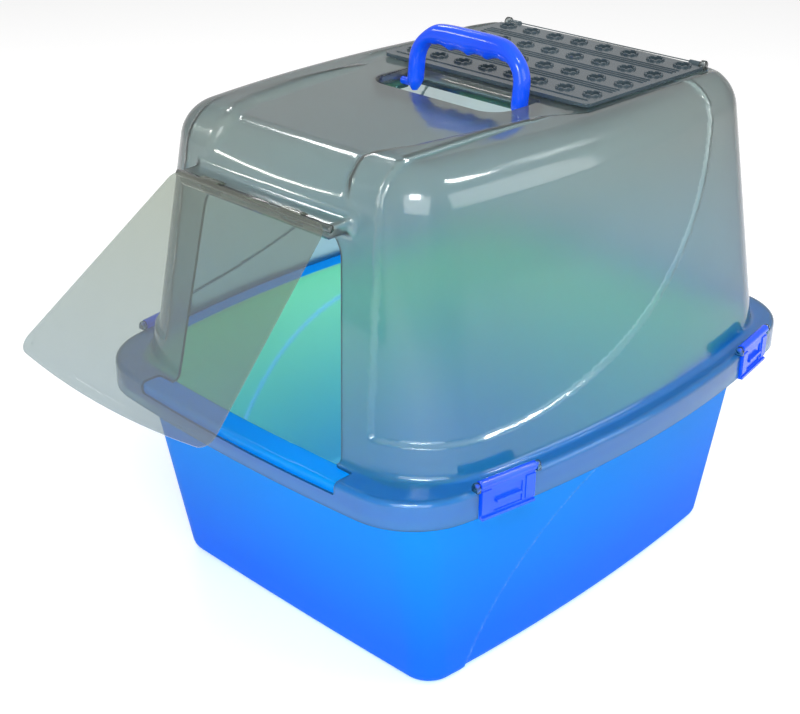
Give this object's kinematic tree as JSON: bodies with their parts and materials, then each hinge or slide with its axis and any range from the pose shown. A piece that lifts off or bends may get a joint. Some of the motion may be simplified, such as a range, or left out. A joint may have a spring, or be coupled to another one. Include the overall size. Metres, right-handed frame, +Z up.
{
  "type": "hooded cat litter box",
  "caption": "Enclosed litter box: rimmed pan, lift-off latched hood with swing door flap, folding carry handle and slotted filter cover.",
  "frame": {"origin": "centre of the pan's underside, on the surface the box stands on", "axes": "+Z up, -Y out through the entrance, +X to the right of someone facing the box's rear from its entrance"},
  "size_m": [0.444, 0.655, 0.4835],
  "materials": {
    "pan": "glossy translucent",
    "hood": "glossy translucent",
    "door": "glossy translucent",
    "latch": "glossy opaque",
    "vent": "glossy translucent",
    "filter": "matte carbon felt"
  },
  "bodies": {
    "pan": {"pan": "pan"},
    "hood": {"hood": "hood", "odor_filter": "filter"},
    "door": {"door_flap": "door"},
    "handle": {"carry_handle": "latch"},
    "vent": {"vent_cover": "vent"},
    "latch_front_right": {"latch_front_right": "latch"},
    "latch_front_left": {"latch_front_left": "latch"},
    "latch_rear_right": {"latch_rear_right": "latch"},
    "latch_rear_left": {"latch_rear_left": "latch"}
  },
  "joints": [
    {"name": "hood_lift", "type": "slide", "parent": "pan", "child": "hood", "axis": [0, 0, 1], "range_m": [0, 0.06]},
    {"name": "door_swing", "type": "hinge", "parent": "hood", "child": "door", "pos_m": [0, -0.236, 0.397], "axis": [-1, 0, 0], "range_deg": [-40, 60]},
    {"name": "handle_swing", "type": "hinge", "parent": "hood", "child": "handle", "pos_m": [0, 0.005, 0.428], "axis": [1, 0, 0], "range_deg": [-9, 72]},
    {"name": "vent_tip", "type": "hinge", "parent": "hood", "child": "vent", "pos_m": [0, 0.193, 0.4415], "axis": [-1, 0, 0], "range_deg": [0, 100]},
    {"name": "latch_front_right_swing", "type": "hinge", "parent": "hood", "child": "latch_front_right", "pos_m": [0.20677, -0.16983, 0.215], "axis": [-0.1664, -0.9861, 0], "range_deg": [-2.5, 110]},
    {"name": "latch_front_left_swing", "type": "hinge", "parent": "hood", "child": "latch_front_left", "pos_m": [-0.20677, -0.16983, 0.215], "axis": [-0.1664, 0.9861, 0], "range_deg": [-2.5, 110]},
    {"name": "latch_rear_right_swing", "type": "hinge", "parent": "hood", "child": "latch_rear_right", "pos_m": [0.20677, 0.16983, 0.215], "axis": [0.1664, -0.9861, 0], "range_deg": [-2.5, 110]},
    {"name": "latch_rear_left_swing", "type": "hinge", "parent": "hood", "child": "latch_rear_left", "pos_m": [-0.20677, 0.16983, 0.215], "axis": [0.1664, 0.9861, 0], "range_deg": [-2.5, 110]}
  ]
}
